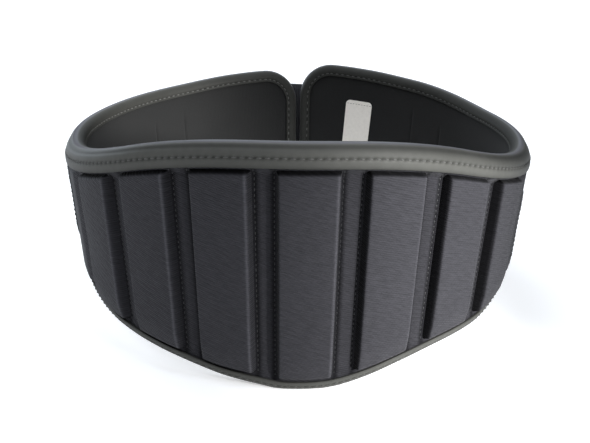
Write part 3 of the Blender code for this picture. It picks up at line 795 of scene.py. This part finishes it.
grey_thread = twisted_thread("sewing_thread", THREAD_DARK, THREAD_LIGHT, 0.6)
outer_point = int(np.flatnonzero(OUTER_SHARES == OUTER_TROUGH)[0])
inner_point = len(outside_painted_light) + int(np.flatnonzero(INNER_EDGE[:, 0] == INNER_TROUGH)[0])
seam_way = np.roll(flat, -1, axis=0) - np.roll(flat, 1, axis=0)
binding_rows = (("binding_stitches", outer_point, -1), ("inner_binding_stitches", inner_point, 1))
for name, point, way_out in binding_rows:
    places = flat[::2, point]
    along_seam = seam_way[::2, point]
    along_seam = along_seam / np.linalg.norm(along_seam, axis=1)[:, None]
    across_tape = flat[::2, point + 1] - flat[::2, point - 1]
    outward = np.cross(along_seam, across_tape)
    outward *= np.sign(outward[:, 1] * way_out)[:, None] / np.linalg.norm(outward, axis=1)[:, None]
    sew(name, places, along_seam, outward, STITCH_LENGTH, THREAD_WIDTH, grey_thread, "binding_tape")

# The stitches beside the pads
# A row of short black stitches runs down each side of each pad. It goes through the cover and
# draws the cloth into the foam.
PAD_STITCH_PITCH, FINE_LENGTH, FINE_WIDTH = 0.0032, 0.0024, 0.0006
BLACK_DARK, BLACK_LIGHT = (0.004, 0.004, 0.005, 1), (0.019, 0.019, 0.021, 1)
OUTWARD, UPWARD = (0.0, -1.0, 0.0), (0.0, 0.0, 1.0)

black_thread = twisted_thread("black_thread", BLACK_DARK, BLACK_LIGHT, 0.5)
spots = []
for seam in SEAMS:
    first = bottom_edge(seam) + BOTTOM_LEG + PAD_STITCH_PITCH
    last = top_edge(seam) - TOP_LEG - PAD_STITCH_PITCH / 2
    heights = np.arange(first, last, PAD_STITCH_PITCH)
    spots.append(np.column_stack([np.full(len(heights), seam), heights]))
spots = np.vstack(spots)
places = np.column_stack([spots[:, 0], -cover_proud(spots[:, 0], spots[:, 1]), spots[:, 1]])
way, out = np.tile(UPWARD, (len(places), 1)), np.tile(OUTWARD, (len(places), 1))
sew("pad_stitches", places, way, out, FINE_LENGTH, FINE_WIDTH, black_thread, "woven_cover")

# The straps
# Two lengths of 45 mm webbing lie round the outside of the front. One is sewn on at the left and
# folded round the buckle's near bar. The other is sewn on at the right, passes over the gap and
# through the buckle, and folds back on itself, where hook and loop faces hold it.
STRAP_WIDTH, STRAP_THICKNESS, STRAP_CLEARANCE = 0.045, 0.0016, 0.0003
STRAP_TAB, STRAP_TAIL, STRAP_STEP_DOWN = 0.028, 0.122, 0.006
STRAP_START, STRAP_FINISH = 0.444, 1.558
PRESSED, PRESS_FADE = 0.15, 0.014
FOLD_LEAN, FOLD_STEPS = 32, 22
BUCKLE_FROM_END, BUCKLE_SLOT, BUCKLE_BAR = 0.076, 0.012, 0.003
STRAP_LINE = np.array((
    # around (share of half the ring), height of the strap's middle line (share of the back's height)
    (0.42, 0.377),
    (1.00, 0.587),
    (1.58, 0.502),
))
BINDING_PROUD = max(TOP_SWELL * EDGE_LINES[-1, 4], BOTTOM_SWELL) + CLEARANCE + TAPE_THICKNESS
SEAT = max(BINDING_PROUD, SIDE_SWELL) + STRAP_CLEARANCE + STRAP_THICKNESS / 2
WRAP_RADIUS = BUCKLE_BAR / 2 + 0.0011 + STRAP_THICKNESS / 2
BAR_PROUD = SEAT + WRAP_RADIUS
SECOND_LAYER = SEAT + STRAP_THICKNESS + CLEARANCE
BUCKLE_ALONG = HALF_RING + END_GAP / 2 + BUCKLE_FROM_END
BAR_SPACING = BUCKLE_SLOT + BUCKLE_BAR
STRAP_SECTION = np.array((
    # share of half the width, share of half the thickness, from the outer face's top edge round
    (0.955, 1.00),
    (0.975, 1.10),
    (0.990, 0.75),
    (1.000, 0.00),
    (0.990, -0.75),
    (0.975, -1.00),
    (0.800, -1.00),
    (0.400, -1.00),
    (0.000, -1.00),
))
WEBBING_RIB, WARP_PITCH, WEBBING_FUZZ = 0.0016, 0.0009, 700
WEBBING_DARK, WEBBING_LIGHT = (0.014, 0.014, 0.016, 1), (0.046, 0.046, 0.052, 1)


def level_run(start, finish, proud, spacing=0.004):
    """Points along a stretch of strap that keeps its distance from the wall."""
    count = max(1, round(abs(finish - start) / spacing))
    return [(start + (finish - start) * i / count, proud) for i in range(count + 1)]


def round_bar(along, back):
    """The strap from under a bar, through the slot and down onto its second layer."""
    turn = np.radians(np.linspace(-90, -90 - back * (180 + FOLD_LEAN), FOLD_STEPS))
    line = [(along + WRAP_RADIUS * math.cos(t), BAR_PROUD + WRAP_RADIUS * math.sin(t)) for t in turn]
    run = (line[-1][1] - SECOND_LAYER) / math.tan(math.radians(FOLD_LEAN))
    return line + [(line[-1][0] + back * run, SECOND_LAYER)]


def webbing_cloth():
    """Black webbing: ribs that run across it, crossed by the warp's fine lines."""
    material, tree, shader = new_material("webbing", 0.8, Sheen_Weight=0.1, Sheen_Roughness=0.5)
    cloth = add_node(tree, "ShaderNodeUVMap", uv_map="Cloth").outputs[0]
    ribs = band(tree, cloth, WEBBING_RIB, 0.3)
    warp = band(tree, turned(tree, cloth, math.radians(90)), WARP_PITCH, 0.5)
    yarn = math_node(tree, "MULTIPLY", ribs, weighted(tree, (warp, 0.5), (1.0, 0.5)))
    shade = weighted(tree, (yarn, 0.6), (noise(tree, cloth, WEBBING_FUZZ, 3), 0.4))
    set_finish(tree, shader, mix_colours(tree, shade, WEBBING_DARK, WEBBING_LIGHT), yarn, 0.7, 0.0003)
    return material


def lay_strap(name, line, sewn, material, node):
    """Webbing with turned selvedges along a line of (along, proud) points. Its sewn end, the first
    (0) or the last (-1), is pressed flat under its stitches."""
    line = np.array(line)
    run = np.append(0, np.cumsum(np.hypot(*np.diff(line, axis=0).T)))
    press = PRESSED + (1 - PRESSED) * smooth_step(np.abs(run - run[sewn]) / PRESS_FADE)
    line[:, 1] -= (1 - press) * STRAP_THICKNESS / 2
    face = [(across, 1.0) for across in (-0.8, -0.4, 0.0, 0.4, 0.8)]
    section = np.vstack([STRAP_SECTION, STRAP_SECTION[-2::-1] * (-1, 1), face])
    around = len(section)
    strap, place, point = new_sheet(name, len(line), around + 1)
    half = STRAP_THICKNESS / 2
    skins = np.array([offset_line(line, half * side * press) for side in section[:, 1]])
    spot = skins[point % around, place]
    middle = BACK_HEIGHT * read_table(STRAP_LINE, 1, spot[:, 0] / HALF_RING)
    height = middle + section[point % around, 0] * STRAP_WIDTH / 2
    move_points(strap, np.column_stack([spot[:, 0], -spot[:, 1], height]))
    lay_cloth(strap, run[place], height)
    edit_whole(
        strap,
        (bpy.ops.mesh.remove_doubles, {"threshold": 1e-6}),
        (bpy.ops.mesh.fill_holes, {"sides": 0}),
        (bpy.ops.mesh.normals_make_consistent, {"inside": False}),
    )
    bend_round(strap)
    finish_piece(strap, material, "webbing", node)


webbing = webbing_cloth()
near_bar, far_bar = BUCKLE_ALONG + BAR_SPACING / 2, BUCKLE_ALONG - BAR_SPACING / 2
tab_end = near_bar + STRAP_TAB
near_fold, far_fold = round_bar(near_bar, 1), round_bar(far_bar, -1)
buckle_line = level_run(tab_end, near_bar, SEAT)[:-1] + near_fold
buckle_line += level_run(near_fold[-1][0], tab_end + STRAP_THICKNESS, SECOND_LAYER)[1:]
buckle_line += level_run(buckle_line[-1][0] + STRAP_STEP_DOWN, STRAP_FINISH * HALF_RING, SEAT)
closing_line = level_run(STRAP_START * HALF_RING, far_bar, SEAT)[:-1] + far_fold
closing_line += level_run(far_fold[-1][0], far_fold[-1][0] - STRAP_TAIL, SECOND_LAYER)[1:]
lay_strap("webbing_buckle_strap", buckle_line, -1, webbing, "buckle_strap")
lay_strap("webbing_closing_strap", closing_line, 0, webbing, "closing_strap")

# The stitches at the straps' ends
# Each strap is sewn down at its outer end by a crossed box of small black stitches, which go through
# the cover and press the webbing flat.
BOX_NEAR, BOX_FAR, BOX_HALF_WIDTH, BOX_PITCH = 0.004, 0.036, 0.0185, 0.0030


def seam_line(first, last):
    """Stitch places and the way of the seam between two places on a strap."""
    first, last = np.array(first), np.array(last)
    length = np.linalg.norm(last - first)
    count = max(1, round(float(length) / BOX_PITCH))
    share = (np.arange(count) + 0.5) / count
    return first + (last - first) * share[:, None], np.tile((last - first) / length, (count, 1))


spots, ways = [], []
for end, onward in ((STRAP_START * HALF_RING, 1), (STRAP_FINISH * HALF_RING, -1)):
    low, high = -BOX_HALF_WIDTH, BOX_HALF_WIDTH
    box = [(BOX_NEAR, low), (BOX_NEAR, high), (BOX_FAR, high), (BOX_FAR, low)]
    for first, last in list(zip(box, box[1:] + box[:1])) + [(box[0], box[2]), (box[1], box[3])]:
        at, way = seam_line(first, last)
        along = end + onward * at[:, 0]
        press = PRESSED + (1 - PRESSED) * smooth_step(at[:, 0] / PRESS_FADE)
        outside = SEAT + STRAP_THICKNESS / 2 - (1 - press) * STRAP_THICKNESS
        height = BACK_HEIGHT * read_table(STRAP_LINE, 1, along / HALF_RING) + at[:, 1]
        spots.append(np.column_stack([along, -outside, height]))
        ways.append(np.column_stack([onward * way[:, 0], np.zeros(len(way)), way[:, 1]]))
spots, ways = np.vstack(spots), np.vstack(ways)
out = np.tile(OUTWARD, (len(spots), 1))
sew("strap_stitches", spots, ways, out, FINE_LENGTH, FINE_WIDTH, black_thread, "webbing")

# The label
# A small woven label inside the right end, sewn by its top to the lining with its corners rounded.
# It is bare, and curls a little away from the lining towards its foot.
LABEL_WIDTH, LABEL_LENGTH, LABEL_THICKNESS = 0.0205, 0.045, 0.0004
LABEL_CORNER, LABEL_FROM_END, LABEL_TOP = 0.003, 0.0450, 0.1035
LABEL_TILT, LABEL_PROUD = math.radians(-3), 0.0003
LABEL_SEAM_DROP, LABEL_SEAM_INSET, LABEL_PITCH = 0.0025, 0.0015, 0.0022
LABEL_STITCH, LABEL_THREAD = 0.0016, 0.00035
LABEL_COLUMNS, LABEL_EDGE_ROWS = 13, (0, 0.0002, 0.0006, 0.0012, 0.002, 0.003)
LABEL_CURL, LABEL_WAVE = 0.0003, 260
LABEL_WEFT, LABEL_WARP, LABEL_FUZZ = 0.0005, 0.0006, 420
LABEL_DARK, LABEL_LIGHT = (0.70, 0.655, 0.59, 1), (0.96, 0.91, 0.83, 1)


def label_cloth():
    """White woven tape: fine warp and weft."""
    material, tree, shader = new_material("label_cloth", 0.75)
    cloth = add_node(tree, "ShaderNodeUVMap", uv_map="Cloth").outputs[0]
    weft = band(tree, turned(tree, cloth, math.radians(90)), LABEL_WEFT)
    weave = math_node(tree, "MULTIPLY", band(tree, cloth, LABEL_WARP), weft)
    shade = weighted(tree, (weave, 0.4), (noise(tree, cloth, LABEL_FUZZ, 3), 0.6))
    set_finish(tree, shader, mix_colours(tree, shade, LABEL_DARK, LABEL_LIGHT), shade, 0.4, 0.0001)
    return material


def label_places(across, up):
    """Places on the belt for points of the label, from its middle."""
    along = RIGHT_END - LABEL_FROM_END - (across * math.cos(LABEL_TILT) - up * math.sin(LABEL_TILT))
    height = LABEL_TOP - LABEL_LENGTH / 2 + across * math.sin(LABEL_TILT) + up * math.cos(LABEL_TILT)
    return along, height


label_rows = np.append(LABEL_EDGE_ROWS, np.linspace(0.0055, LABEL_LENGTH / 2, 8))
label_rows = np.append(label_rows - LABEL_LENGTH / 2, LABEL_LENGTH / 2 - label_rows[-2::-1])
label, column, row = new_sheet("woven_label", LABEL_COLUMNS, len(label_rows))
up = label_rows[row]
from_corner = np.clip(LABEL_CORNER - (LABEL_LENGTH / 2 - np.abs(up)), 0, LABEL_CORNER)
half_width = LABEL_WIDTH / 2 - LABEL_CORNER + np.sqrt(LABEL_CORNER ** 2 - from_corner ** 2)
across = (column / (LABEL_COLUMNS // 2) - 1) * half_width
along, height = label_places(across, up)
lift = LABEL_CURL * np.sin(across * LABEL_WAVE) * np.clip(0.5 - up / LABEL_LENGTH, 0, 1)
move_points(label, np.column_stack([along, -(LINING_FACE - LABEL_PROUD - np.abs(lift)), height]))
lay_cloth(label, across, up)
finish_with(label, "SOLIDIFY", thickness=LABEL_THICKNESS, offset=0)
edit_whole(label, (bpy.ops.mesh.normals_make_consistent, {"inside": False}))
bend_round(label)
finish_piece(label, label_cloth(), "label_cloth", "label")

across = np.arange(LABEL_SEAM_INSET - LABEL_WIDTH / 2, LABEL_WIDTH / 2 - 0.001, LABEL_PITCH)
along, height = label_places(across, LABEL_LENGTH / 2 - LABEL_SEAM_DROP)
label_face = LABEL_PROUD + LABEL_THICKNESS / 2 - LINING_FACE
places = np.column_stack([along, np.full(len(along), label_face), height])
way = np.tile((-math.cos(LABEL_TILT), 0.0, math.sin(LABEL_TILT)), (len(places), 1))
out = -np.tile(OUTWARD, (len(places), 1))
sew("label_stitches", places, way, out, LABEL_STITCH, LABEL_THREAD, grey_thread, "label_cloth")

# The buckle
# A flat loop of steel wire with a middle slot, painted black. The two straps hold it against the
# left front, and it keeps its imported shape.
PAINT_DARK, PAINT_LIGHT = (0.010, 0.010, 0.011, 1), (0.020, 0.020, 0.021, 1)
PEEL_PER_METRE = 500


def painted_steel():
    """Black paint over steel: a faint orange-peel surface, satin."""
    material, tree, shader = new_material("buckle_paint", 0.35)
    place = add_node(tree, "ShaderNodeTexCoord").outputs["Object"]
    peel = noise(tree, place, PEEL_PER_METRE, 3)
    set_finish(tree, shader, mix_colours(tree, peel, PAINT_DARK, PAINT_LIGHT), peel, 0.2, 0.0002)
    return material


buckle = bpy.data.objects["loop_buckle"]
buckle.data.materials.clear()
buckle.data.materials.append(painted_steel())

# The floor, the light and the camera
# A plain white floor in even light under a large soft lamp, with small cool lamps at the left and
# behind. A narrow key lamp low at the right rakes over the pads, and the camera stands at the
# photograph's place.
CAMERA_HEIGHT_ANGLE = math.radians(20.116)
CAMERA_ROLL = math.radians(0.75)
CAMERA_DISTANCE = 0.80
CAMERA_AIM = Vector((-0.0012, 0, 0.0538))
FOCAL_PIXELS, PICTURE_WIDTH = 1216.5, 590
SENSOR_WIDTH = 36
FLOOR_COLOUR, FLOOR_GLOW = (0.92, 0.92, 0.92, 1), 0.42
ROOM_COLOUR, ROOM_LIGHT = (0.97, 0.98, 1.0, 1), 0.08
LAMP_AIM = Vector((0, 0, 0.08))
KEY_AZIMUTH, KEY_LIFT, KEY_DISTANCE = math.radians(43), math.radians(19), 1.6
KEY_AIM = Vector((0.0811, -0.1116, 0.08))
KEY_POWER, KEY_CONE, KEY_BLEND = 305, math.radians(6.02), 0.58
KEY_SOFTNESS, KEY_STRETCH = 0.045, (1.0, 2.6, 1.0)
FLAG_EDGE = Vector((0.2505, -0.2942, 0.2108))
FLAG_WIDTH, FLAG_HEIGHT, FLAG_LEAN = 0.40, 0.016, math.radians(-16)

bpy.ops.mesh.primitive_plane_add(size=12)
floor = bpy.context.active_object
floor.name = "floor"
paper, tree, shader = new_material("white_floor", 0.95)
shader.inputs["Base Color"].default_value = FLOOR_COLOUR
shader.inputs["Emission Color"].default_value = (1.0, 1.0, 1.0, 1)
shader.inputs["Emission Strength"].default_value = FLOOR_GLOW
floor.data.materials.append(paper)

world = bpy.data.worlds.new("studio")
world.use_nodes = True
world.node_tree.nodes["Background"].inputs["Color"].default_value = ROOM_COLOUR
world.node_tree.nodes["Background"].inputs["Strength"].default_value = ROOM_LIGHT
bpy.context.scene.world = world


def soft_lamp(name, place, size, power, colour):
    """A square lamp that faces the belt."""
    bpy.ops.object.light_add(type="AREA", location=place)
    lamp = bpy.context.active_object
    lamp.name = name
    lamp.data.size = size
    lamp.data.energy = power
    lamp.data.color = colour
    lamp.rotation_euler = (LAMP_AIM - Vector(place)).to_track_quat("-Z", "Y").to_euler()


soft_lamp("overhead_lamp", (-0.3, -0.4, 2.4), 3.6, 90, (0.88, 0.93, 1.0))
soft_lamp("left_lamp", (-1.13, 1.13, 0.5), 0.6, 9, (0.80, 0.90, 1.0))
soft_lamp("back_lamp", (0.0, 1.8, 1.0), 1.2, 4, (0.78, 0.88, 1.0))

toward_key = Vector((
    math.sin(KEY_AZIMUTH) * math.cos(KEY_LIFT),
    -math.cos(KEY_AZIMUTH) * math.cos(KEY_LIFT),
    math.sin(KEY_LIFT),
))
bpy.ops.object.light_add(type="SPOT", location=KEY_AIM + toward_key * KEY_DISTANCE)
key = bpy.context.active_object
key.name = "key_lamp"
key.data.energy = KEY_POWER
key.data.spot_size = KEY_CONE
key.data.spot_blend = KEY_BLEND
key.data.shadow_soft_size = KEY_SOFTNESS
key.rotation_euler = toward_key.to_track_quat("Z", "Y").to_euler()
key.scale = KEY_STRETCH

# A narrow black flag hangs in the key lamp's beam and takes part of it off the top binding.
level_way = Vector((math.cos(KEY_AZIMUTH), math.sin(KEY_AZIMUTH), 0))
upward_way = toward_key.cross(level_way)
edge_way = level_way * math.cos(FLAG_LEAN) + upward_way * math.sin(FLAG_LEAN)
rising_way = upward_way * math.cos(FLAG_LEAN) - level_way * math.sin(FLAG_LEAN)
bpy.ops.mesh.primitive_plane_add(size=1, location=FLAG_EDGE + rising_way * FLAG_HEIGHT / 2)
flag = bpy.context.active_object
flag.name = "flag"
flag.rotation_euler = Matrix((edge_way, rising_way, toward_key)).transposed().to_euler()
flag.scale = (FLAG_WIDTH, FLAG_HEIGHT, 1)
flag.visible_camera = False
flag.visible_diffuse = False
flag.visible_glossy = False
black_cloth, tree, shader = new_material("black_flag", 0.95)
shader.inputs["Base Color"].default_value = (0.01, 0.01, 0.01, 1)
flag.data.materials.append(black_cloth)

camera = bpy.data.objects.new("camera", bpy.data.cameras.new("camera"))
bpy.context.scene.collection.objects.link(camera)
camera.data.lens = FOCAL_PIXELS * SENSOR_WIDTH / PICTURE_WIDTH
camera.data.sensor_width = SENSOR_WIDTH
back_off = Vector((0, -math.cos(CAMERA_HEIGHT_ANGLE), math.sin(CAMERA_HEIGHT_ANGLE)))
camera.location = RING_CENTRE * Vector((1, 1, 0)) + CAMERA_AIM + back_off * CAMERA_DISTANCE
tip = Matrix.Rotation(math.radians(90) - CAMERA_HEIGHT_ANGLE, 3, "X")
camera.rotation_euler = (tip @ Matrix.Rotation(CAMERA_ROLL, 3, "Z")).to_euler()
bpy.context.scene.camera = camera
bpy.context.scene.view_settings.view_transform = "Standard"
